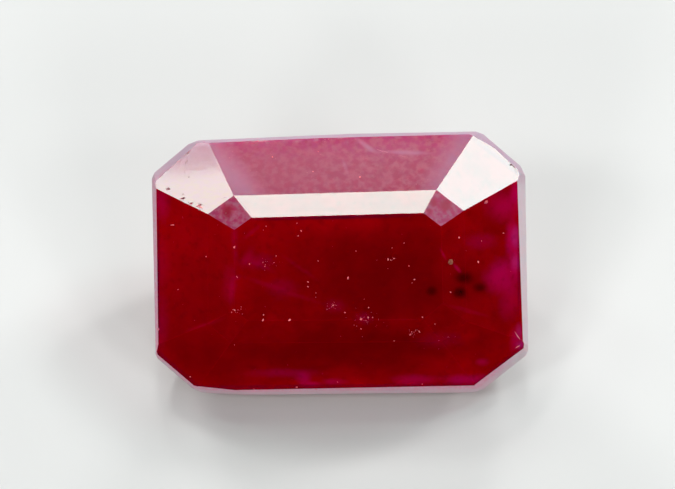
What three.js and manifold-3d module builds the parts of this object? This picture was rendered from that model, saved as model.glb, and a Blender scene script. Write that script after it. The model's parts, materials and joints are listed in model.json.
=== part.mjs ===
// A loose octagonal step-cut ruby: a flat table, two rows of crown facets, a slanted frosted rim, a girdle and a
// pavilion of three rows that closes in a keel. It lies as a loose stone does, on one long facet of its pavilion.
// Units are millimetres. The stone is first cut in its own frame: the table faces +Z, the long sides run along X,
// and the crown facets meet the rim near level 0. It is then tipped onto its resting facet.
import * as THREE from "three";
import { mergeVertices } from "three/addons/utils/BufferGeometryUtils.js";
import Module from "manifold-3d";

// Heights of the two rows of crown facets, and the level of the girdle's lower edge.
const WIDE_STEP_HEIGHT = 1.2;
const NARROW_STEP_HEIGHT = 0.35;
const GIRDLE_FOOT = -0.42;

// Slope of each row of the pavilion from the girdle plane, in degrees. The last row runs down to the keel.
const PAVILION_SLOPES = [56, 46, 36];
const PAVILION_ROW_HEIGHTS = [0.6, 0.7];

// The crown's sides, anticlockwise from the right as seen facing the table. faces: the way the side's facets face, in
// degrees from +X. base: how far out their planes are at level 0. wide, narrow: how far the two rows run inwards.
const CROWN = [
  { side: "right", faces: 1.8, base: 5.15, wide: 1.72, narrow: 0.64 },
  { side: "top_right", faces: 52.5, base: 4.94, wide: 1.72, narrow: 0.7 },
  { side: "top", faces: 91.6, base: 3.33, wide: 1.37, narrow: 0.6 },
  { side: "top_left", faces: 125.5, base: 4.72, wide: 1.5, narrow: 0.76 },
  { side: "left", faces: 180, base: 5.22, wide: 1.6, narrow: 0.73 },
  { side: "bottom_left", faces: 229.5, base: 5.2, wide: 1.6, narrow: 0.79 },
  { side: "bottom", faces: 270.4, base: 3.47, wide: 1.32, narrow: 0.64 },
  { side: "bottom_right", faces: 308.3, base: 5.02, wide: 1.62, narrow: 0.82 },
];

// The strokes of the hand-ground rim and of the upright girdle below it, in the same order. The rim's facet faces
// rim, leans lean degrees from the table's normal and reaches out to rimReach at level 0. The girdle's facet faces
// edge and reaches out to edgeReach. Two strokes on one side make its edge bulge. rimWear and edgeWear: how much is
// worn off the rim and the girdle at the corner that follows the stroke.
const STROKES = [
  { rim: 2, lean: 62, rimReach: 5.03, rimWear: 0.03, edge: 1, edgeReach: 5.15, edgeWear: 0.07 },
  { rim: 49, lean: 64, rimReach: 5.1, rimWear: 0, edge: 49.5, edgeReach: 5.21, edgeWear: 0 },
  { rim: 57, lean: 63, rimReach: 4.885, rimWear: 0.02, edge: 53, edgeReach: 5.18, edgeWear: 0.05 },
  { rim: 91.5, lean: 73, rimReach: 3.385, rimWear: 0, edge: 91, edgeReach: 3.48, edgeWear: 0 },
  { rim: 92.2, lean: 73, rimReach: 3.39, rimWear: 0.02, edge: 92.5, edgeReach: 3.47, edgeWear: 0.05 },
  { rim: 128.5, lean: 54, rimReach: 4.87, rimWear: 0.02, edge: 130, edgeReach: 5.14, edgeWear: 0.04 },
  { rim: 180.5, lean: 71, rimReach: 5.085, rimWear: 0.02, edge: 181.2, edgeReach: 5.14, edgeWear: 0.03 },
  { rim: 229.5, lean: 69, rimReach: 5.23, rimWear: 0.02, edge: 229, edgeReach: 5.36, edgeWear: 0.05 },
  { rim: 266.7, lean: 63, rimReach: 3.7, rimWear: 0, edge: 265, edgeReach: 3.98, edgeWear: 0 },
  { rim: 270.7, lean: 56, rimReach: 3.49, rimWear: 0, edge: 270.6, edgeReach: 3.7, edgeWear: 0.05 },
  { rim: 307.7, lean: 52, rimReach: 5, rimWear: 0.03, edge: 308.5, edgeReach: 5.26, edgeWear: 0.04 },
];

// The pavilion's sides, in the crown's order. reach: how far out they reach at the girdle's foot. steeper: how many
// degrees steeper than PAVILION_SLOPES the side is cut.
const PAVILION = [
  { side: "right", faces: 1, reach: 5.15, steeper: 2 },
  { side: "top_right", faces: 49.5, reach: 5.21, steeper: 1 },
  { side: "top", faces: 92, reach: 3.48, steeper: 0 },
  { side: "top_left", faces: 130, reach: 5.14, steeper: 1 },
  { side: "left", faces: 181, reach: 5.14, steeper: 3 },
  { side: "bottom_left", faces: 229, reach: 5.36, steeper: 1 },
  { side: "bottom", faces: 270, reach: 3.68, steeper: 0 },
  { side: "bottom_right", faces: 308.5, reach: 5.26, steeper: 2 },
];
const RESTING_SIDE = "bottom";

const ROUGH_SIZE = { length: 14, width: 10, height: 10 };
const SAW_SIZE = 40;
const RUBY_RED = 0x8c0b1e;
const UPRIGHT = 90;

const TABLE_LEVEL = WIDE_STEP_HEIGHT + NARROW_STEP_HEIGHT;
const UP = new THREE.Vector3(0, 0, 1);

const radians = THREE.MathUtils.degToRad;

const wasm = await Module();
wasm.setup();

// A closed three.js geometry as a solid that can be cut.
function solidOf(geometry) {
  const bare = geometry.toNonIndexed();
  bare.deleteAttribute("normal");
  bare.deleteAttribute("uv");
  const merged = mergeVertices(bare);
  return new wasm.Manifold(
    new wasm.Mesh({
      numProp: 3,
      vertProperties: new Float32Array(merged.getAttribute("position").array),
      triVerts: new Uint32Array(merged.index.array),
    }),
  );
}

// A solid back as a flat-shaded three.js geometry.
function geometryOf(solid) {
  const mesh = solid.getMesh();
  const indexed = new THREE.BufferGeometry();
  indexed.setAttribute("position", new THREE.BufferAttribute(new Float32Array(mesh.vertProperties), 3));
  indexed.setIndex(new THREE.BufferAttribute(new Uint32Array(mesh.triVerts), 1));
  const flat = indexed.toNonIndexed();
  flat.computeVertexNormals();
  return flat;
}

// The plane of one facet. It faces bearing, its normal leans lean degrees from +Z, and it passes reach out from the
// stone's axis at the given level.
function facetPlane(bearing, lean, reach, level) {
  const out = new THREE.Vector3(Math.cos(radians(bearing)), Math.sin(radians(bearing)), 0);
  const normal = out.clone().multiplyScalar(Math.sin(radians(lean))).addScaledVector(UP, Math.cos(radians(lean)));
  return { normal, point: out.multiplyScalar(reach).setZ(level) };
}

// The lean of a facet that rises by height while it runs inwards by run.
function leanOf(run, height) {
  return THREE.MathUtils.radToDeg(Math.atan2(height, run));
}

// Saws away everything outside one plane.
function cut(solid, plane) {
  const saw = new THREE.BoxGeometry(SAW_SIZE, SAW_SIZE, SAW_SIZE).translate(0, 0, SAW_SIZE / 2);
  saw.applyQuaternion(new THREE.Quaternion().setFromUnitVectors(UP, plane.normal));
  saw.translate(plane.point.x, plane.point.y, plane.point.z);
  return solid.subtract(solidOf(saw));
}

function crownPlanes({ faces, base, wide, narrow }) {
  return [
    facetPlane(faces, leanOf(wide, WIDE_STEP_HEIGHT), base, 0),
    facetPlane(faces, leanOf(narrow, NARROW_STEP_HEIGHT), base - wide, WIDE_STEP_HEIGHT),
  ];
}

function girdlePlanes({ rim, lean, rimReach, edge, edgeReach }) {
  return [facetPlane(rim, lean, rimReach, 0), facetPlane(edge, UPRIGHT, edgeReach, 0)];
}

// The bearing and reach of the worn flat that takes wear off the corner where two edges meet.
function wornFlat(bearing, reach, nextBearing, nextReach, wear) {
  const turn = radians((nextBearing - bearing + 360) % 360);
  const halfway = bearing + THREE.MathUtils.radToDeg(turn / 2);
  return { bearing: halfway, reach: (reach + nextReach) / (2 * Math.cos(turn / 2)) - wear };
}

function wornPlanes(stroke, index) {
  const next = STROKES[(index + 1) % STROKES.length];
  const planes = [];
  if (stroke.rimWear > 0) {
    const flat = wornFlat(stroke.rim, stroke.rimReach, next.rim, next.rimReach, stroke.rimWear);
    planes.push(facetPlane(flat.bearing, (stroke.lean + next.lean) / 2, flat.reach, 0));
  }
  if (stroke.edgeWear > 0) {
    const flat = wornFlat(stroke.edge, stroke.edgeReach, next.edge, next.edgeReach, stroke.edgeWear);
    planes.push(facetPlane(flat.bearing, UPRIGHT, flat.reach, 0));
  }
  return planes;
}

function pavilionPlanes({ faces, reach, steeper }) {
  let level = GIRDLE_FOOT;
  let out = reach;
  return PAVILION_SLOPES.map((rowSlope, row) => {
    const slope = rowSlope + steeper;
    const plane = facetPlane(faces, 180 - slope, out, level);
    const height = PAVILION_ROW_HEIGHTS[row] ?? 0;
    level -= height;
    out -= height / Math.tan(radians(slope));
    return plane;
  });
}

function cutStone() {
  const rough = new THREE.BoxGeometry(ROUGH_SIZE.length, ROUGH_SIZE.width, ROUGH_SIZE.height);
  const planes = [
    facetPlane(0, 0, 0, TABLE_LEVEL),
    ...CROWN.flatMap(crownPlanes),
    ...STROKES.flatMap(girdlePlanes),
    ...STROKES.flatMap(wornPlanes),
    ...PAVILION.flatMap(pavilionPlanes),
  ];
  return planes.reduce(cut, solidOf(rough));
}

const ruby = new THREE.Mesh(
  geometryOf(cutStone()),
  new THREE.MeshStandardMaterial({ color: RUBY_RED, roughness: 0.05, metalness: 0 }),
);
ruby.name = "ruby";

// Tips the stone onto its resting facet, then centres its box over the origin with the facet on Z = 0.
const resting = PAVILION.find(({ side }) => side === RESTING_SIDE);
ruby.rotation.x = radians(PAVILION_SLOPES.at(-1) + resting.steeper);
const part = new THREE.Group();
part.add(ruby);
const box = new THREE.Box3().setFromObject(part, true);
const middle = box.getCenter(new THREE.Vector3());
ruby.position.set(-middle.x, -middle.y, -box.min.z);

export default part;
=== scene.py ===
import json
import math
import random

import bmesh
import bpy
from bpy.types import NodeSocket
from mathutils import Matrix, Vector, noise
from mathutils.bvhtree import BVHTree


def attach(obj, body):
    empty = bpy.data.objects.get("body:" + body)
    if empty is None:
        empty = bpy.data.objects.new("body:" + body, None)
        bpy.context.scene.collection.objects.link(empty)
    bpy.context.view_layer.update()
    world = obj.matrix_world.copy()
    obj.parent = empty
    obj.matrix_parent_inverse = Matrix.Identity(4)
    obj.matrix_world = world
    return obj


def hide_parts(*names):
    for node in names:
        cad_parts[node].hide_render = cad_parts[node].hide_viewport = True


# A loose step-cut ruby that lies on a facet of its pavilion: the stone with its rounded, chipped and frosted
# edges, the colour zones and inclusions in it, and the floor, the soft boxes and the camera that show it.
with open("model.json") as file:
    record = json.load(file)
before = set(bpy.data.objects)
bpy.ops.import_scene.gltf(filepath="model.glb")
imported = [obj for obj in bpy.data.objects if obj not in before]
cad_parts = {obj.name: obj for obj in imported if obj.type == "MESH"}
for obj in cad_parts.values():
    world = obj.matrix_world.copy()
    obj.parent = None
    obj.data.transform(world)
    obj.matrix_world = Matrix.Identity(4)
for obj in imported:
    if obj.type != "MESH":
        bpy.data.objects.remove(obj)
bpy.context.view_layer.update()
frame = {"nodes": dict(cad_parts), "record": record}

# Lengths are millimetres until a mesh is handed to Blender, which holds metres.
MM = 0.001
ROOT = "root"

# The stone's own frame, read from the record's table mount: RIGHT runs along the long sides, TOP across them
# and FACING out of the table. Level 0 is near where the crown facets meet the rim.
TABLE_LEVEL = 1.55
TABLE = next(mount for mount in frame["record"]["mounts"] if mount["name"] == "table")
FACING = Vector(TABLE["axis"]).normalized()
RIGHT = Vector((1, 0, 0))
TOP = FACING.cross(RIGHT)
ORIGIN = Vector(TABLE["pos_m"]) / MM - FACING * TABLE_LEVEL

# The photograph's view. AXIS_PIXEL is where the point of the stone's axis at AXIS_LEVEL shows.
IMAGE_SIZE = (675, 489)
PIXELS_PER_MM = 36.36
CAMERA_DISTANCE = 200
CAMERA_LIFT = math.radians(4)
AXIS_PIXEL = (340, 262)
AXIS_LEVEL = 0.4
SENSOR_WIDTH = 36
CLIP_START = 0.01
CLIP_END = 10

# Corners this close are one corner, and triangles that bend less than this lie on one facet.
WELD = 1e-4
SAME_FACET = math.radians(0.3)

# How far the edges are rounded: between polished facets, where these meet the rim or girdle, and within both.
FACET_EDGE = 0.016
RIM_EDGE = 0.03
GIRDLE_EDGE = 0.06
EDGE_SEGMENTS = 3
EDGE_PROFILE = 0.6

# A facet is on the rim or the girdle if its normal leans between these angles, in degrees, from the table's.
RIM_LEAN = (45, 100)
# Between these levels the rounded edges border the rim or the girdle, which were left frosted.
FROSTED_LEVELS = (-0.5, 0.2)
# The stone's materials, by their slot.
POLISHED, FROSTED, WORN, CHIPPED = range(4)

# Crown facets with their own tones, by bearing and lean in degrees: the long one at the top, hazy and partly
# painted light, the two small upper corners, clouded, and the wide upper left corner, scuffed and with a
# painted reflection.
FACET_MARKS = {
    "hazy": [(91.6, 41.2)],
    "clouded": [(125.5, 24.7), (52.5, 26.6)],
    "scuffed": [(125.5, 38.7)],
}
NEAR_FACET = math.radians(2)

RUBY_IOR = 1.77
SEED = 41
random.seed(SEED)


def stone_point(right, top, level):
    return ORIGIN + RIGHT * right + TOP * top + FACING * level


def facet_normal(bearing, lean):
    """bearing turns anticlockwise from RIGHT, as seen facing the table. lean is from the table's normal."""
    turn = math.radians(bearing)
    tip = math.radians(lean)
    return (RIGHT * math.cos(turn) + TOP * math.sin(turn)) * math.sin(tip) + FACING * math.cos(tip)


def lean_of(normal):
    return math.degrees(normal.angle(FACING))


def level_of(point):
    return (point - ORIGIN).dot(FACING)


# The camera

TO_CAMERA = TOP * math.sin(CAMERA_LIFT) + FACING * math.cos(CAMERA_LIFT)
IMAGE_UP = TOP * math.cos(CAMERA_LIFT) - FACING * math.sin(CAMERA_LIFT)
TARGET = stone_point(0, 0, AXIS_LEVEL)
EYE = TARGET + TO_CAMERA * CAMERA_DISTANCE


def as_mm(pixels):
    return pixels / PIXELS_PER_MM


def spot_at(x, y):
    """The point in the plane through TARGET that shows at a pixel of the photograph."""
    return TARGET + RIGHT * as_mm(x - AXIS_PIXEL[0]) + IMAGE_UP * as_mm(AXIS_PIXEL[1] - y)


def make_camera():
    data = bpy.data.cameras.new("camera")
    data.sensor_width = SENSOR_WIDTH
    data.lens = SENSOR_WIDTH * CAMERA_DISTANCE * PIXELS_PER_MM / IMAGE_SIZE[0]
    data.clip_start = CLIP_START
    data.clip_end = CLIP_END
    camera = bpy.data.objects.new("camera", data)
    bpy.context.scene.collection.objects.link(camera)
    back = (EYE - spot_at(IMAGE_SIZE[0] / 2, IMAGE_SIZE[1] / 2)).normalized()
    right = IMAGE_UP.cross(back).normalized()
    camera.rotation_mode = "QUATERNION"
    camera.rotation_quaternion = Matrix((right, back.cross(right), back)).transposed().to_quaternion()
    camera.location = EYE * MM
    bpy.context.scene.camera = camera


# Small helpers for node trees

def plug(tree, value, socket):
    if isinstance(value, NodeSocket):
        tree.links.new(value, socket)
    else:
        socket.default_value = value


def add_node(tree, kind, inputs, **settings):
    """A new node with its settings and its inputs, which are values or the sockets to link."""
    node = tree.nodes.new(kind)
    for name, value in settings.items():
        setattr(node, name, value)
    for name, value in inputs.items():
        plug(tree, value, node.inputs[name])
    return node


def math_outputs(tree, kind, operation, first, second):
    node = tree.nodes.new(kind)
    node.operation = operation
    plug(tree, first, node.inputs[0])
    plug(tree, second, node.inputs[1])
    return node.outputs


def vector_math(tree, operation, first, second, output="Vector"):
    return math_outputs(tree, "ShaderNodeVectorMath", operation, first, second)[output]


def number_math(tree, operation, first, second):
    return math_outputs(tree, "ShaderNodeMath", operation, first, second)[0]


def fade(tree, value, start, end, low=0.0, high=1.0):
    """low where value is before start, high past end, and a smooth step between. start may be above end."""
    if start > end:
        start, end, low, high = end, start, high, low
    inputs = {"Value": value, "From Min": start, "From Max": end, "To Min": low, "To Max": high}
    return add_node(tree, "ShaderNodeMapRange", inputs, interpolation_type="SMOOTHSTEP").outputs["Result"]


def blend(tree, factor, first, second):
    node = tree.nodes.new("ShaderNodeMix")
    node.data_type = "RGBA"
    sockets = {socket.identifier: socket for socket in node.inputs}
    plug(tree, factor, sockets["Factor_Float"])
    plug(tree, first, sockets["A_Color"])
    plug(tree, second, sockets["B_Color"])
    return next(socket for socket in node.outputs if socket.identifier == "Result_Color")


def cloudiness(tree, place, scale, detail=3.0, stretch=(1, 1, 1)):
    stretched = vector_math(tree, "MULTIPLY", place, stretch)
    inputs = {"Vector": stretched, "Scale": scale, "Detail": detail}
    return add_node(tree, "ShaderNodeTexNoise", inputs).outputs["Fac"]


def stone_place(tree):
    """The shaded point in the stone's own frame, in millimetres."""
    turn = Matrix((RIGHT, TOP, FACING))
    inputs = {
        "Vector": add_node(tree, "ShaderNodeTexCoord", {}).outputs["Object"],
        "Location": -(turn @ ORIGIN),
        "Rotation": turn.to_euler(),
        "Scale": (1 / MM, 1 / MM, 1 / MM),
    }
    return add_node(tree, "ShaderNodeMapping", inputs).outputs["Vector"]


def new_material(name):
    material = bpy.data.materials.new(name)
    material.use_nodes = True
    return material, material.node_tree, material.node_tree.nodes["Principled BSDF"]


def set_inputs(shader, values):
    for name, value in values.items():
        shader.inputs[name].default_value = value


# The light: soft boxes far away, as patches of the world's sky

def grey(strength):
    return (strength, strength, strength)


# towards: the azimuth and elevation of a soft box's middle in degrees. full, gone: how many degrees from its
# middle it still has its full strength, and where it has faded out.

# Soft boxes that show mirrored in the crown facets.
MIRRORED_LIGHTS = [
    {"towards": (-4, 69), "full": 2.5, "gone": 4.5, "colour": (8.4, 10.0, 9.6)},
    {"towards": (60, 46), "full": 4.5, "gone": 9, "colour": (8.6, 11.0, 10.8)},
    {"towards": (-52.4, 40.6), "full": 3.5, "gone": 7, "colour": (6.5, 7.3, 6.8)},
    {"towards": (-2.5, 46.8), "full": 3, "gone": 6, "colour": (1.5, 1.1, 1.3)},
    {"towards": (79.5, 59.5), "full": 3, "gone": 8, "colour": (0.8, 0.65, 0.85)},
    {"towards": (-81.7, 62), "full": 3, "gone": 8, "colour": (0.4, 0.3, 0.4)},
]
# Soft boxes that light the stone and the floor, behind, beside and in front of the stone.
SOFT_LIGHTS = [
    {"towards": (-24, 50), "full": 2.5, "gone": 5, "colour": grey(24)},
    {"towards": (0, 58), "full": 2.5, "gone": 5, "colour": grey(16)},
    {"towards": (-6, 36), "full": 2.5, "gone": 5, "colour": grey(18)},
    {"towards": (42, 42), "full": 2.5, "gone": 5, "colour": grey(30)},
    {"towards": (-32, 18), "full": 5, "gone": 9, "colour": grey(21)},
    {"towards": (16, 18), "full": 5, "gone": 9, "colour": grey(16)},
    {"towards": (60, 18), "full": 4, "gone": 8, "colour": grey(23)},
    {"towards": (-116, 45), "full": 4, "gone": 8, "colour": grey(12)},
    {"towards": (124, 42), "full": 4, "gone": 8, "colour": grey(7)},
    {"towards": (-140, 54), "full": 4, "gone": 8, "colour": grey(4)},
    {"towards": (-150, 26), "full": 5, "gone": 9, "colour": grey(11)},
    {"towards": (154, 27), "full": 4, "gone": 8, "colour": grey(10)},
    {"towards": (132, 27), "full": 4, "gone": 8, "colour": grey(8)},
]
# What the camera sees of the sky.
BACKDROP_COLOUR = (0.82, 0.84, 0.81, 1)


def sky_direction(azimuth, elevation):
    """Azimuth 0 is straight behind the stone and 90 is to its right."""
    turn = math.radians(azimuth)
    lift = math.radians(elevation)
    return Vector((math.sin(turn) * math.cos(lift), math.cos(turn) * math.cos(lift), math.sin(lift)))


def light_patch(tree, towards, light):
    nearness = vector_math(tree, "DOT_PRODUCT", towards, sky_direction(*light["towards"]), "Value")
    gone = math.cos(math.radians(light["gone"]))
    full = math.cos(math.radians(light["full"]))
    inputs = {"Vector": light["colour"], "Scale": fade(tree, nearness, gone, full)}
    return add_node(tree, "ShaderNodeVectorMath", inputs, operation="SCALE").outputs["Vector"]


def make_light():
    world = bpy.data.worlds.new("studio")
    bpy.context.scene.world = world
    world.use_nodes = True
    tree = world.node_tree
    generated = add_node(tree, "ShaderNodeTexCoord", {}).outputs["Generated"]
    towards = vector_math(tree, "NORMALIZE", generated, (0, 0, 0))
    total = (0, 0, 0)
    for light in MIRRORED_LIGHTS + SOFT_LIGHTS:
        total = vector_math(tree, "ADD", total, light_patch(tree, towards, light))
    shine = tree.nodes["Background"]
    tree.links.new(total, shine.inputs["Color"])
    backdrop = add_node(tree, "ShaderNodeBackground", {"Color": BACKDROP_COLOUR})
    seen = add_node(tree, "ShaderNodeLightPath", {}).outputs["Is Camera Ray"]
    either = tree.nodes.new("ShaderNodeMixShader")
    tree.links.new(seen, either.inputs[0])
    tree.links.new(shine.outputs[0], either.inputs[1])
    tree.links.new(backdrop.outputs[0], either.inputs[2])
    tree.links.new(either.outputs[0], tree.nodes["World Output"].inputs["Surface"])
    bpy.context.scene.view_settings.view_transform = "Standard"


# The floor

FLOOR_SIZE = 1.2
FLOOR_DROP = 1e-5
FLOOR_COLOUR = (0.785, 0.78, 0.77, 1)


def make_floor():
    shape = bmesh.new()
    bmesh.ops.create_grid(shape, x_segments=1, y_segments=1, size=FLOOR_SIZE / 2)
    data = bpy.data.meshes.new("floor")
    shape.to_mesh(data)
    shape.free()
    material, _, shader = new_material("paper")
    set_inputs(shader, {"Base Color": FLOOR_COLOUR, "Roughness": 0.9, "Specular IOR Level": 0})
    data.materials.append(material)
    floor = bpy.data.objects.new("floor", data)
    floor.location.z = -FLOOR_DROP
    floor.visible_glossy = False
    bpy.context.scene.collection.objects.link(floor)


# The stone's mesh

def facets_of_stone():
    """The CAD stone in millimetres, with one polygon for each facet."""
    shape = bmesh.new()
    shape.from_mesh(frame["nodes"]["ruby"].data)
    bmesh.ops.scale(shape, vec=Vector((1, 1, 1)) / MM, verts=shape.verts)
    bmesh.ops.remove_doubles(shape, verts=shape.verts, dist=WELD)
    bmesh.ops.dissolve_limit(shape, angle_limit=SAME_FACET, verts=shape.verts, edges=shape.edges)
    return shape


def is_rim(face):
    return RIM_LEAN[0] < lean_of(face.normal) < RIM_LEAN[1]


def rounding_of(edge):
    rim_faces = sum(is_rim(face) for face in edge.link_faces)
    return (FACET_EDGE, RIM_EDGE, GIRDLE_EDGE)[rim_faces]


def holder_of(name, shape):
    """A new object that holds a bmesh, with an empty slot for each of the stone's materials."""
    data = bpy.data.meshes.new(name)
    shape.to_mesh(data)
    shape.free()
    for _ in (POLISHED, FROSTED, WORN, CHIPPED):
        data.materials.append(None)
    holder = bpy.data.objects.new(name, data)
    bpy.context.scene.collection.objects.link(holder)
    return holder


def evaluated(holder):
    """The holder's mesh with its modifiers applied, as a bmesh. The holder is removed."""
    graph = bpy.context.evaluated_depsgraph_get()
    shape = bmesh.new()
    shape.from_object(holder, graph)
    bpy.data.objects.remove(holder)
    return shape


def rounded(shape):
    """The same stone with its edges rounded. The rounded edges are marked FROSTED or WORN."""
    weights = shape.edges.layers.float.new("bevel_weight_edge")
    for edge in shape.edges:
        edge[weights] = rounding_of(edge) / GIRDLE_EDGE
    for face in shape.faces:
        face.material_index = FROSTED if is_rim(face) else POLISHED
    holder = holder_of("rounding", shape)
    bevel = holder.modifiers.new("rounding", "BEVEL")
    bevel.limit_method = "WEIGHT"
    bevel.width = GIRDLE_EDGE
    bevel.segments = EDGE_SEGMENTS
    bevel.profile = EDGE_PROFILE
    bevel.material = WORN
    result = evaluated(holder)
    for face in result.faces:
        level = level_of(face.calc_center_median())
        if face.material_index == WORN and FROSTED_LEVELS[0] < level < FROSTED_LEVELS[1]:
            face.material_index = FROSTED
    return result


def mark_facets(shape):
    """Marks the hazy, clouded and scuffed crown facets, by a 1 on their faces in the layer named after the
    mark.
    """
    for name, facets in FACET_MARKS.items():
        layer = shape.faces.layers.float.new(name)
        normals = [facet_normal(*facet) for facet in facets]
        for face in shape.faces:
            nearest = min(face.normal.angle(normal, math.pi) for normal in normals)
            face[layer] = 1.0 if nearest < NEAR_FACET and face.material_index == POLISHED else 0.0


def hand_over(name, shape, materials):
    """Turns a bmesh in millimetres into an object that rides with the stone."""
    bmesh.ops.scale(shape, vec=(MM, MM, MM), verts=shape.verts)
    data = bpy.data.meshes.new(name)
    shape.to_mesh(data)
    shape.free()
    for material in materials:
        data.materials.append(material)
    piece = bpy.data.objects.new(name, data)
    bpy.context.scene.collection.objects.link(piece)
    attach(piece, ROOT)
    return piece


# Places on and in the stone, by the pixel of the photograph where they show

def on_stone(surface, x, y):
    """Where the line of sight through a pixel meets the stone, the normal there and the line's direction."""
    sight = (spot_at(x, y) - EYE).normalized()
    point, normal, _, _ = surface.ray_cast(EYE, sight)
    return point, normal, sight


def in_stone(surface, x, y, depth):
    """The point that lies depth below the facet along the refracted line of sight."""
    point, normal, sight = on_stone(surface, x, y)
    bend = 1 / RUBY_IOR
    incoming = -sight.dot(normal)
    outgoing = math.sqrt(1 - bend * bend * (1 - incoming * incoming))
    refracted = sight * bend + normal * (bend * incoming - outgoing)
    return point + refracted * depth


# Materials

BRIGHT_RED = (1.0, 0.0, 0.012, 1)
DEEP_RED = (0.58, 0.0, 0.003, 1)
DARK_RED = (0.31, 0.0, 0.001, 1)
BLACK_RED = (0.13, 0.0, 0.0, 1)
PURPLE_RED = (1.0, 0.0, 0.19, 1)
VEIL_PURPLE = (0.95, 0.0, 0.12, 1)
SHADED_PURPLE = (0.24, 0.0, 0.05, 1)
FRINGE_LILAC = (1.0, 0.06, 0.5, 1)
ROSE = (0.74, 0.0, 0.13, 1)
STAINED_ROSE = (0.62, 0.0, 0.1, 1)
PURPLE_ROSE = (0.78, 0.01, 0.25, 1)
MILKY_AND_LIT_PINK = (0.93, 0.2, 0.32, 1)
LILAC_PINK = (1.0, 0.38, 0.62, 1)
LILAC = (1.0, 0.36, 0.6, 1)
REFLECTED_PALE_LILAC = (1.0, 0.42, 0.42, 1)
CLOUDED_PINK = (1.0, 0.07, 0.27, 1)
PALE_CLOUD = (1.0, 0.3, 0.48, 1)
CORNER_RED = (0.75, 0.0, 0.07, 1)
RIM_PINK = (0.8, 0.38, 0.5, 1)
RIM_LILAC = (0.78, 0.52, 0.65, 1)
RIM_GREY = (0.72, 0.55, 0.62, 1)
RIM_PAINTED_LIGHT = (0.8, 0.72, 0.76, 1)
RIM_SHADED = (0.5, 0.36, 0.47, 1)

RUBY_TRANSMISSION = 0.64
RUBY_ROUGHNESS = 0.25
ABSORPTION_COLOUR = (0.88, 0.2, 0.45, 1)
ABSORPTION_DENSITY = 1000

# Colour zones. Each has the pixel where its middle shows, its half width and half height in pixels, its turn
# in degrees if it is turned, and its strength.
BRIGHT_ZONES = [(175, 240, 110, 55, 0.42), (345, 226, 90, 12, 0.35), (180, 330, 40, 60, 0.15)]
DARK_ZONES = [
    (400, 285, 120, 60, 0.55), (330, 345, 135, 30, 0.7), (380, 350, 80, 26, 0.4), (175, 330, 40, 50, 0.3),
    (498, 322, 26, 30, 0.35), (250, 362, 110, 22, 0.3),
]
PURPLE_ZONES = [
    (500, 277, 16, 17, 0.8), (512, 238, 7, 18, 0.85), (515, 262, 5, 16, 0.8), (516, 192, 6, 11, 0.9),
    (510, 300, 12, 20, 0.35), (516, 340, 6, 14, 0.6), (304, 379, 8, 7, 0.6), (313, 384, 10, 3, 0.6),
    (282, 373, 36, 5, 0.3), (414, 380, 24, 6, 0.6), (466, 380, 24, 6, 0.75), (482, 362, 7, 4, 0.5),
    (334, 382, 12, 4, 0.5), (258, 262, 16, 9, 0.3), (335, 306, 10, 7, 0.2), (481, 241, 16, 8, 0.25),
    (364, 318, 9, 7, 0.25), (503, 206, 17, 15, 0.6), (230, 285, 8, 20, 0.2), (284, 288, 16, 10, 0.2),
    (160, 322, 9, 34, 0.25), (161, 262, 10, 22, 0.18), (161, 202, 9, 18, 0.45), (440, 340, 22, 9, 0.15),
]
# The lilac fringe of the outer right edge.
FRINGE_ZONES = [(516, 237, 5, 11, 0.5), (516, 262, 5, 9, 0.4), (519, 331, 4, 9, 0.4), (521, 345, 5, 6, 0.6)]
# Healed cracks that show as faint veils.
VEILS = [
    (235, 244, 22, 3.6, 92, 0.3), (232, 289, 16, 3.6, 85, 0.5), (248, 257, 12, 5.5, 60, 0.35),
    (262, 266, 14, 3.0, -25, 0.35), (282, 290, 42, 3.0, -19, 0.25), (205, 325, 20, 2.4, -160, 0.25),
    (469, 311, 22, 2.4, -18, 0.25), (252, 232, 13, 2.6, 40, 0.3), (443, 254, 7, 1.6, -62, 0.6),
    (457, 268, 6, 2.0, -52, 0.8), (300, 268, 20, 2.6, -35, 0.2), (236, 278, 5, 3, 10, 0.5),
]
# The dark smudges round the crystals under the table.
DARK_SPOTS = [
    (431.5, 291, 6, 5, 0.8), (464, 278, 11, 6, 0.9), (459, 292.5, 7, 6, 0.92), (480.5, 287.5, 7, 5.5, 0.85),
]
# The shaded lines under the bright strip and along the outer left and right edges.
SHADED_LINES = [
    (335, 217.5, 92, 2.2, 1.4, 0.9), (158.5, 290, 75, 1.6, 90, 0.8), (519, 270, 70, 1.6, 90, 0.6),
]
# The zones of the stone's body and their tones, each laid over those before it.
ZONE_LAYERS = [
    (BRIGHT_ZONES, BRIGHT_RED), (DARK_ZONES, DARK_RED), (PURPLE_ZONES, PURPLE_RED),
    (FRINGE_ZONES, FRINGE_LILAC), (VEILS, VEIL_PURPLE), (DARK_SPOTS, BLACK_RED),
    (SHADED_LINES, SHADED_PURPLE),
]
# Milky veils in the hazy facet.
MILKY_VEILS = [
    (366, 145.5, 14, 2.6, -35, 0.8), (405, 152.5, 30, 2.4, -2, 0.8), (345, 166, 8, 2, -70, 0.4),
]
# The darker middles of the clouded small corners.
CORNER_ZONES = [(227, 212, 8, 9, 1.0), (446, 205, 8, 8, 0.8), (433, 203, 5, 5, 0.7), (429, 211, 3, 4, 0.7)]
# Where a zone has faded out and where it is full, in half widths from its middle, with the noise that frays
# its edge added.
SOFT_EDGE = (1.9, 0.6)
FIRM_EDGE = (1.6, 0.8)
# The turn of a zone that isn't turned, and how far every zone reaches through the stone.
STRAIGHT = 0
FAR = 1000

# Slanted fades across a facet: the way they face, where they start and are full in millimetres, and their
# strength.
RIGHT_END = ((1, -0.52, 0), 0.8, 1.8, 0.9)
LEFT_END = ((-1, -0.87, 0), 0.0, 0.95, 0.8)
UPPER_EDGE = ((0, 1, 0), 2.6, 3.4, 1)
OUTWARDS = ((-0.1, 1, 0), 2.1, 3.6, 1)


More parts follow.
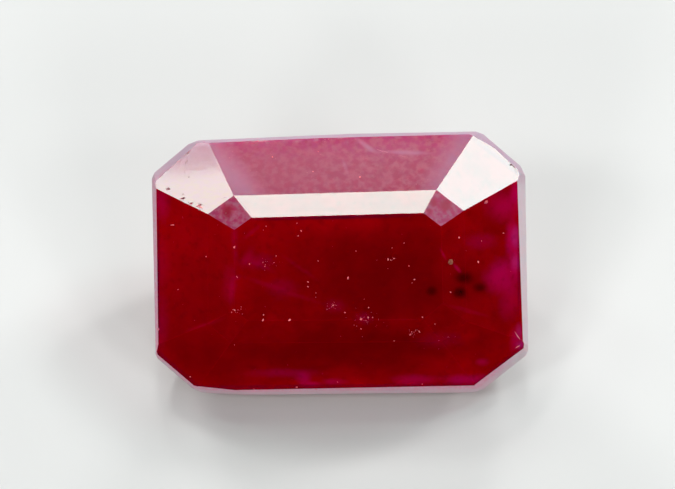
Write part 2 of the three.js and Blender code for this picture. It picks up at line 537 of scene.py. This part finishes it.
def zone_mask(tree, surface, place, ragged, zone, edge=SOFT_EDGE):
    """The zone's strength in its middle and 0 outside it, with a ragged edge."""
    x, y, half_width, half_height, *turn, strength = zone
    middle = on_stone(surface, x, y)[0] - ORIGIN
    inputs = {
        "Vector": place,
        "Location": (middle.dot(RIGHT), middle.dot(TOP), 0),
        "Rotation": (0, 0, math.radians(turn[0] if turn else STRAIGHT)),
        "Scale": (as_mm(half_width), as_mm(half_height), FAR),
    }
    offset = add_node(tree, "ShaderNodeMapping", inputs, vector_type="TEXTURE").outputs["Vector"]
    distance = number_math(tree, "ADD", vector_math(tree, "LENGTH", offset, (0, 0, 0), "Value"), ragged)
    gone, full = edge
    return fade(tree, distance, gone, full, high=strength)


def slanted_fade(tree, place, slant):
    facing, start, full, strength = slant
    return fade(tree, vector_math(tree, "DOT_PRODUCT", place, facing, "Value"), start, full, high=strength)


def facet_mark(tree, name):
    return add_node(tree, "ShaderNodeAttribute", {}, attribute_name=name).outputs["Fac"]


def hazy_and_lit_colour(tree, surface, place, across, ragged):
    """The long top facet: milky pink over rose, which is partly its haze and partly painted light where the
    light from above falls on it; more purple at its upper edge and lilac at its ends.
    """
    colour = blend(tree, slanted_fade(tree, place, UPPER_EDGE), ROSE, PURPLE_ROSE)
    # Partly painted light: the milky pink brightens the top facet where the light from above falls on it,
    # over its real haze.
    mottle = fade(tree, cloudiness(tree, place, scale=5.5, detail=8.0), start=0.36, end=0.66)
    haze_and_light = fade(tree, across.outputs["X"], start=-3, end=3, low=0.45, high=0.85)
    colour = blend(tree, number_math(tree, "MULTIPLY", mottle, haze_and_light), colour, MILKY_AND_LIT_PINK)
    grain = cloudiness(tree, place, scale=9.0, detail=4.0, stretch=(1, 1.4, 1))
    colour = blend(tree, fade(tree, grain, start=0.52, end=0.7, high=0.5), colour, STAINED_ROSE)
    for veil in MILKY_VEILS:
        colour = blend(tree, zone_mask(tree, surface, place, ragged, veil), colour, LILAC)
    for end in (RIGHT_END, LEFT_END):
        colour = blend(tree, slanted_fade(tree, place, end), colour, LILAC_PINK)
    return colour


def clouded_colour(tree, surface, place, ragged):
    """The two small upper corners: milky pink with a ragged dark red middle."""
    mottle = fade(tree, cloudiness(tree, place, scale=7.0, detail=6.0), start=0.36, end=0.64)
    colour = blend(tree, mottle, CLOUDED_PINK, PALE_CLOUD)
    for zone in CORNER_ZONES:
        colour = blend(tree, zone_mask(tree, surface, place, ragged, zone, FIRM_EDGE), colour, CORNER_RED)
    return colour


def scuffed_reflection_colour(tree, place):
    """The wide upper left corner: pale, and more lilac outwards, a painted reflection of the soft box that
    the facet mirrors.
    """
    streaks = cloudiness(tree, place, scale=6.0, detail=6.0, stretch=(0.8, 1.6, 1))
    # Painted reflection: pale where the facet mirrors the soft box, more lilac outwards where its scuffs blur
    # it.
    colour = blend(tree, fade(tree, streaks, start=0.35, end=0.65, high=0.5), REFLECTED_PALE_LILAC, LILAC)
    return blend(tree, slanted_fade(tree, place, OUTWARDS), colour, LILAC)


def ruby_colour(tree, surface, place):
    ragged = cloudiness(tree, place, scale=1.6, detail=6.0)
    across = add_node(tree, "ShaderNodeSeparateXYZ", {"Vector": place})
    drift = fade(tree, cloudiness(tree, place, scale=1.1, detail=8.0), start=0.3, end=0.7, high=0.45)
    colour = blend(tree, drift, DEEP_RED, BRIGHT_RED)
    for zones, tone in ZONE_LAYERS:
        for zone in zones:
            colour = blend(tree, zone_mask(tree, surface, place, ragged, zone), colour, tone)
    freckles = fade(tree, cloudiness(tree, place, scale=5.0, detail=5.0), start=0.5, end=0.75, high=0.3)
    colour = blend(tree, freckles, colour, DARK_RED)
    # Painted shade: a darker purple band on the crown facets just above the rim.
    painted_shade_along_rim = fade(tree, across.outputs["Z"], start=0.09, end=0.02, high=0.45)
    colour = blend(tree, painted_shade_along_rim, colour, SHADED_PURPLE)
    colour = blend(tree, facet_mark(tree, "hazy"), colour, hazy_and_lit_colour(tree, surface, place, across, ragged))
    colour = blend(tree, facet_mark(tree, "clouded"), colour, clouded_colour(tree, surface, place, ragged))
    return blend(tree, facet_mark(tree, "scuffed"), colour, scuffed_reflection_colour(tree, place))


def polish_marks(tree, place):
    """The fine lines that the polishing wheel left and the scuffed corner, as a bump."""
    lines = cloudiness(tree, place, scale=5.0, detail=4.0, stretch=(0.5, 9, 2))
    scuffs = cloudiness(tree, place, scale=14.0, detail=4.0, stretch=(0.5, 2, 2))
    depth = fade(tree, slanted_fade(tree, place, OUTWARDS), start=0, end=1, low=0.5, high=6.0)
    scuffs = number_math(tree, "MULTIPLY", scuffs, depth)
    scuffs = number_math(tree, "MULTIPLY", scuffs, facet_mark(tree, "scuffed"))
    height = number_math(tree, "ADD", lines, scuffs)
    inputs = {"Height": height, "Strength": 1.0, "Distance": 1e-6}
    return add_node(tree, "ShaderNodeBump", inputs).outputs["Normal"]


def ruby_material(surface):
    """See-through, and clouded inside. Its coat is the polish, which mirrors the soft boxes."""
    material, tree, shader = new_material("ruby")
    place = stone_place(tree)
    set_inputs(shader, {
        "Transmission Weight": RUBY_TRANSMISSION,
        "Roughness": RUBY_ROUGHNESS,
        "IOR": RUBY_IOR,
        "Specular IOR Level": 0,
        "Specular Tint": (0, 0, 0, 1),
        "Subsurface Weight": 1,
        "Subsurface Radius": (1.0, 0.15, 0.25),
        "Subsurface Scale": 0.002,
        "Coat Weight": 1,
        "Coat Roughness": 0.01,
        "Coat IOR": RUBY_IOR,
    })
    plug(tree, ruby_colour(tree, surface, place), shader.inputs["Base Color"])
    tree.links.new(polish_marks(tree, place), shader.inputs["Coat Normal"])
    inputs = {"Color": ABSORPTION_COLOUR, "Density": ABSORPTION_DENSITY}
    absorption = add_node(tree, "ShaderNodeVolumeAbsorption", inputs)
    tree.links.new(absorption.outputs[0], tree.nodes["Material Output"].inputs["Volume"])
    return material


def frosted_material():
    """The rim and the girdle as ground: greyer below, paler at the right, which is painted light, and shaded
    at the top.
    """
    material, tree, shader = new_material("frosted_rim")
    place = stone_place(tree)
    across = add_node(tree, "ShaderNodeSeparateXYZ", {"Vector": place})
    grain = cloudiness(tree, place, scale=12.0, detail=4.0)
    colour = blend(tree, fade(tree, grain, start=0.35, end=0.7), RIM_PINK, RIM_LILAC)
    colour = blend(tree, fade(tree, across.outputs["Z"], start=-0.06, end=-0.25), colour, RIM_GREY)
    # Painted light: the rim is paler towards its right end.
    colour = blend(tree, fade(tree, across.outputs["X"], start=4.3, end=4.9, high=0.8), colour, RIM_PAINTED_LIGHT)
    colour = blend(tree, fade(tree, across.outputs["Y"], start=1.8, end=2.8, high=0.8), colour, RIM_SHADED)
    plug(tree, colour, shader.inputs["Base Color"])
    set_inputs(shader, {
        "Transmission Weight": 0.25,
        "Roughness": 0.6,
        "IOR": RUBY_IOR,
        "Specular IOR Level": 0.15,
        "Subsurface Weight": 0.5,
        "Subsurface Radius": (1.0, 0.4, 0.5),
        "Subsurface Scale": 0.0003,
    })
    inputs = {"Height": grain, "Strength": 0.6, "Distance": 6e-6}
    tree.links.new(add_node(tree, "ShaderNodeBump", inputs).outputs["Normal"], shader.inputs["Normal"])
    return material


def grainy_material(name, dark, light, roughness=0.6, shine=0.5):
    """A mineral surface whose colour varies between two tones."""
    material, tree, shader = new_material(name)
    grain = cloudiness(tree, stone_place(tree), scale=30.0)
    plug(tree, blend(tree, fade(tree, grain, start=0.3, end=0.7), dark, light), shader.inputs["Base Color"])
    set_inputs(shader, {"Roughness": roughness, "IOR": RUBY_IOR, "Specular IOR Level": shine})
    return material


def worn_edge_material():
    return grainy_material("worn_edge", (0.3, 0.0, 0.003, 1), (0.4, 0.0, 0.012, 1), shine=0)


def chip_material():
    return grainy_material("chip", (0.3, 0.0, 0.02, 1), (0.95, 0.3, 0.4, 1), roughness=0.5)


def speck_material():
    return grainy_material("speck", (0.85, 0.12, 0.15, 1), (1.0, 0.3, 0.31, 1), shine=0.1)


def dark_speck_material():
    return grainy_material("dark_speck", (0.05, 0.0, 0.01, 1), (0.25, 0.03, 0.08, 1))


def pinpoint_material():
    return grainy_material("pinpoint", (0.95, 0.1, 0.2, 1), (1.0, 0.35, 0.4, 1))


def pale_crack_material():
    return grainy_material("pale_crack", (0.6, 0.14, 0.22, 1), (0.7, 0.24, 0.3, 1))


def dark_line_material():
    return grainy_material("dark_line", (0.08, 0.02, 0.03, 1), (0.18, 0.07, 0.09, 1), roughness=0.7, shine=0)


def dark_crystal_material():
    return grainy_material("dark_crystal", (0.0, 0.0, 0.0, 1), (0.02, 0.0, 0.0, 1), roughness=0.5)


def beige_crystal_material():
    tones = (0.2, 0.035, 0.025, 1), (0.3, 0.12, 0.075, 1)
    return grainy_material("beige_crystal", *tones, roughness=0.7, shine=0)


# The stone and its chips

# Chips along the edges: the pixel, and the half length, half width and depth in millimetres.
CHIPS = [
    (168, 189, 0.07, 0.03, 0.04), (183, 198.5, 0.09, 0.03, 0.04), (191, 203.5, 0.06, 0.03, 0.04),
    (511, 165, 0.05, 0.03, 0.04), (486, 202, 0.07, 0.04, 0.05), (158, 329, 0.05, 0.04, 0.05),
    (199, 205.5, 0.1, 0.025, 0.03),
]
CHIP_TURN = 0.5

# A pebble's lumps come from noise. LUMP_SCALE sets how many there are, and NOISE_REACH how far apart two
# pebbles may take theirs.
LUMP_SCALE = 1.5
NOISE_REACH = 50


def pebble(shape, middle, radii, subdivisions, roughness, turn=0.0):
    """Adds an uneven ball. Its radii run along RIGHT, TOP and FACING, turned about FACING."""
    ball = bmesh.ops.create_icosphere(shape, subdivisions=subdivisions, radius=1)
    spin = Matrix.Rotation(turn, 3, "Z")
    offset = Vector([random.uniform(-NOISE_REACH, NOISE_REACH) for _ in range(3)])
    for vert in ball["verts"]:
        swell = 1 + roughness * noise.noise(vert.co * LUMP_SCALE + offset)
        grown = spin @ (Vector([vert.co[i] * radii[i] for i in range(3)]) * swell)
        vert.co = middle + RIGHT * grown.x + TOP * grown.y + FACING * grown.z


def chip_out(stone, surface):
    """Cuts the chips out of the rounded stone."""
    cutters = bmesh.new()
    for x, y, long, wide, deep in CHIPS:
        point, _, _ = on_stone(surface, x, y)
        turn = random.uniform(-CHIP_TURN, CHIP_TURN)
        pebble(cutters, point, (long, wide, deep), subdivisions=3, roughness=0.6, turn=turn)
    for face in cutters.faces:
        face.material_index = CHIPPED
    chipped = holder_of("chipped", stone)
    cutter = holder_of("cutters", cutters)
    boolean = chipped.modifiers.new("chips", "BOOLEAN")
    boolean.operation = "DIFFERENCE"
    boolean.solver = "EXACT"
    boolean.object = cutter
    result = evaluated(chipped)
    bpy.data.objects.remove(cutter)
    return result


def make_stone():
    """Makes the stone and gives back the surface that its inclusions are placed on."""
    stone = rounded(facets_of_stone())
    surface = BVHTree.FromBMesh(stone)
    stone = chip_out(stone, surface)
    mark_facets(stone)
    materials = [ruby_material(surface), frosted_material(), worn_edge_material(), chip_material()]
    piece = hand_over("ruby_stone", stone, materials)
    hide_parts("ruby")
    return surface


# What is inside the stone

# Bright specks at the surface: the pixel and the radius in pixels.
SPECKS = [
    (297, 223, 0.8), (301, 231, 0.9), (298, 236, 0.8), (266, 226, 0.6), (263, 230, 0.5), (234.5, 247, 1.1),
    (206, 256.5, 0.8), (178, 289.5, 0.8), (276, 256, 0.7), (274, 262.5, 0.7), (265, 266.5, 0.7),
    (249.5, 264, 0.6), (318, 261, 0.7), (348, 278, 1.2), (308, 282, 0.8), (308, 286.5, 0.8), (316, 293, 0.6),
    (356, 251, 0.5), (392, 248, 0.9), (388, 259.5, 1.1), (391, 260.5, 1.0), (394, 258.5, 0.8),
    (388, 268.5, 0.6), (404, 243, 0.6), (409, 266, 0.6), (412, 283, 0.8), (414.5, 279.5, 0.8),
    (478, 262, 1.1), (459, 237.5, 0.9), (503.5, 233, 0.8), (481.5, 241, 0.6), (450.5, 292, 0.9),
    (422.5, 317, 0.9), (263.5, 315, 0.9), (263, 320, 1.1), (231.5, 312, 0.8), (234.5, 310, 0.6),
    (241, 309, 0.6), (333, 305.5, 0.6), (345, 312.5, 0.6), (364, 299, 0.6), (368.5, 307.5, 0.9),
    (361, 319, 1.1), (368, 317.5, 0.9), (372.5, 317.5, 0.8), (361, 329, 0.8), (354, 325, 0.6),
    (410, 334.5, 0.7), (414, 332, 0.7), (394, 341, 0.5), (435, 324, 0.6), (337.5, 382, 0.8), (190, 377, 0.8),
    (234.5, 345, 0.5), (360, 177, 1.1), (313, 171.5, 0.7), (272.5, 157, 0.8), (318, 151.5, 0.9),
    (380.5, 154.5, 0.7), (258, 140.5, 0.7),
]
# Most of a speck is sunk in the stone, so it is made this much larger than the radius that shows.
SPECK_GROWTH = 1.15
# Wider flecks: the pixel, half length and half width in pixels, and the turn in degrees.
FLECKS = [
    (289.5, 320, 2.6, 1.2, 3), (174, 225, 3.2, 0.5, 0), (419, 331, 0.5, 1.8, 25), (411, 334, 0.5, 2.4, -40),
    (237, 277, 0.6, 1.2, 20), (297, 387, 1.8, 0.8, 5), (316, 389.5, 1.6, 0.8, 0), (422, 384, 1.6, 0.8, 0),
    (254, 389, 1.2, 0.7, 0), (486, 201.5, 2.4, 0.9, 15), (517.5, 347, 2.4, 0.6, 30),
    (202, 207.5, 5.0, 0.8, -28),
]
# Dark specks at the surface: the pixel and the radius in pixels.
DARK_SPECKS = [
    (187.5, 153, 1.4), (187, 161, 0.9), (185.5, 163, 0.6), (189, 177, 1.1), (168, 188, 0.9), (183, 194, 0.8),
    (183, 198, 0.7), (188.5, 202, 0.8), (222, 210, 0.7), (226, 213, 0.6), (511, 164.5, 0.9),
    (319, 193, 0.7),
]
# Clouds of pinpoints: the pixel, the spread across and down in pixels, and how many.
PINPOINT_CLOUDS = [
    (333, 306, 8, 4, 26), (365, 318, 7, 5, 30), (413, 333, 7, 4, 30), (391, 259, 5, 4, 14),
    (268, 262, 12, 5, 20), (236, 311, 6, 3, 12), (255, 139, 8, 2, 14), (325, 140, 5, 2, 10),
    (448, 340, 16, 6, 10), (365, 322, 22, 12, 16),
]
PINPOINT_RADII = (0.2, 0.5)
# Pinpoints strewn over the top facet and over the whole stone: the corners of the region and how many.
STREWN = [((228, 142), (428, 188), 60), ((168, 215), (512, 380), 90)]
STREWN_RADII = (0.15, 0.4)
# Healed cracks that reach the surface, and scratches at the lower right corner, as thin ridges: the pixels
# they run through and their width in pixels.
PALE_CRACKS = [
    ([(376, 149), (384, 151.5), (392, 152.5)], 1.2),
    ([(398, 155), (404, 156.5), (408, 156.5)], 0.7),
    ([(515, 332), (517.5, 336), (520, 339.5), (521, 341)], 2.4),
    ([(514.5, 348.5), (517.5, 346.5), (520, 344.5), (521.5, 343)], 2.6),
]
# Dark lines near the edges, in the same way.
DARK_LINES = [
    ([(510, 163.5), (514, 167), (516.8, 172), (517.6, 178)], 1.6),
    ([(221, 198.5), (225, 197.6), (230, 198.5)], 1.6),
    ([(195, 202.5), (201, 204), (207, 206.5)], 1.0),
]
# The points along a ridge are CRACK_STEP pixels apart and up to CRACK_WOBBLE off its line. Between its ends
# it has at least CRACK_NARROWEST of its width. The ends taper over CRACK_TAPER points and stop CRACK_TIP of a
# point short of a sharp tip. Half the width is CRACK_FLATNESS times the height.
CRACK_STEP = 2.5
CRACK_WOBBLE = 0.5
CRACK_NARROWEST = 0.3
CRACK_FLATNESS = 3
CRACK_TAPER = 3
CRACK_TIP = 0.15
# Dark crystals under the surface: the pixel, half length and half width in pixels, and the depth in
# millimetres.
DARK_CRYSTALS = [
    (431.5, 291, 4, 3.4, 0.2), (465, 278, 6, 5, 0.25), (459, 292, 5, 4, 0.2), (481, 288, 4.4, 3.6, 0.2),
]
# The beige crystal: the pixel, and the half length and half width in pixels.
BEIGE_CRYSTAL = (450.5, 262, 4.8, 4.4)
# How far a grain's middle lies below the surface, as a share of its radius, and how uneven its radii are.
GRAIN_SUNK = 0.7
CRYSTAL_SUNK = 0.8
GRAIN_STRETCH = (0.8, 1.2)


def surface_grain(shape, surface, x, y, radius, subdivisions):
    """A grain that just breaks the surface where the pixel shows it, if the pixel shows the stone."""
    point, normal, _ = on_stone(surface, x, y)
    if point is None:
        return
    size = as_mm(radius)
    radii = [size * random.uniform(*GRAIN_STRETCH) for _ in range(3)]
    turn = random.uniform(0, math.pi)
    pebble(shape, point - normal * size * GRAIN_SUNK, radii, subdivisions, roughness=0.7, turn=turn)


def make_specks(surface):
    shape = bmesh.new()
    for x, y, radius in SPECKS:
        surface_grain(shape, surface, x, y, radius * SPECK_GROWTH, subdivisions=2)
    for x, y, long, wide, turn in FLECKS:
        point, normal, _ = on_stone(surface, x, y)
        radii = (as_mm(long), as_mm(wide), as_mm(min(long, wide)))
        middle = point - normal * radii[2] * GRAIN_SUNK
        pebble(shape, middle, radii, subdivisions=2, roughness=0.8, turn=math.radians(turn))
    hand_over("specks", shape, [speck_material()])


def make_dark_specks(surface):
    shape = bmesh.new()
    for x, y, radius in DARK_SPECKS:
        surface_grain(shape, surface, x, y, radius, subdivisions=2)
    hand_over("dark_specks", shape, [dark_speck_material()])


def make_pinpoints(surface):
    """The finest silk: grains well under a tenth of a millimetre, in clouds and strewn."""
    shape = bmesh.new()
    for x, y, across, down, count in PINPOINT_CLOUDS:
        for _ in range(count):
            spot = (random.gauss(x, across / 2), random.gauss(y, down / 2))
            surface_grain(shape, surface, *spot, random.uniform(*PINPOINT_RADII), subdivisions=1)
    for (left, top), (right, bottom), count in STREWN:
        for _ in range(count):
            spot = (random.uniform(left, right), random.uniform(top, bottom))
            surface_grain(shape, surface, *spot, random.uniform(*STREWN_RADII), subdivisions=1)
    hand_over("pinpoints", shape, [pinpoint_material()])


def crack_stops(surface, corners):
    """Points along a crack on the surface, each with its normal."""
    stops = []
    for (x, y), (next_x, next_y) in zip(corners, corners[1:]):
        count = max(1, round(math.hypot(next_x - x, next_y - y) / CRACK_STEP))
        for step in range(count):
            part = step / count
            wobble = random.uniform(-CRACK_WOBBLE, CRACK_WOBBLE)
            stop = on_stone(surface, x + (next_x - x) * part + wobble, y + (next_y - y) * part + wobble)
            stops.append(stop[:2])
    return stops


def crack(shape, surface, corners, width):
    """A thin closed ridge with pointed ends, half sunk in the surface."""
    stops = crack_stops(surface, corners)
    last = len(stops) - 1
    rings = []
    for index, (point, normal) in enumerate(stops):
        before = stops[max(index - 1, 0)][0]
        after = stops[min(index + 1, last)][0]
        side = (after - before).cross(normal).normalized()
        taper = min(1.0, (min(index, last - index) + CRACK_TIP) / CRACK_TAPER)
        half = as_mm(width) / 2 * random.uniform(CRACK_NARROWEST, 1.0) * taper
        ring = (side * half, normal * half / CRACK_FLATNESS, -side * half, -normal * half)
        rings.append([shape.verts.new(point + offset) for offset in ring])
    for ring, following in zip(rings, rings[1:]):
        for i, corner in enumerate(ring):
            beside = (i + 1) % len(ring)
            shape.faces.new((corner, ring[beside], following[beside], following[i]))
    shape.faces.new(rings[0][::-1])
    shape.faces.new(rings[-1])


def make_cracks(name, surface, cracks, material):
    shape = bmesh.new()
    for corners, width in cracks:
        crack(shape, surface, corners, width)
    bmesh.ops.recalc_face_normals(shape, faces=shape.faces)
    hand_over(name, shape, [material])


def make_dark_crystals(surface):
    shape = bmesh.new()
    for x, y, long, wide, depth in DARK_CRYSTALS:
        middle = in_stone(surface, x, y, depth)
        radii = (as_mm(long), as_mm(wide), as_mm(wide))
        turn = random.uniform(0, math.pi)
        pebble(shape, middle, radii, subdivisions=2, roughness=0.8, turn=turn)
    hand_over("dark_crystals", shape, [dark_crystal_material()])


def make_beige_crystal(surface):
    shape = bmesh.new()
    x, y, long, wide = BEIGE_CRYSTAL
    point, normal, _ = on_stone(surface, x, y)
    radii = (as_mm(long), as_mm(wide), as_mm(wide))
    pebble(shape, point - normal * radii[2] * CRYSTAL_SUNK, radii, subdivisions=2, roughness=0.6)
    hand_over("beige_crystal", shape, [beige_crystal_material()])


make_camera()
make_light()
make_floor()
stone_surface = make_stone()
make_specks(stone_surface)
make_dark_specks(stone_surface)
make_pinpoints(stone_surface)
make_cracks("pale_cracks", stone_surface, PALE_CRACKS, pale_crack_material())
make_cracks("dark_lines", stone_surface, DARK_LINES, dark_line_material())
make_dark_crystals(stone_surface)
make_beige_crystal(stone_surface)
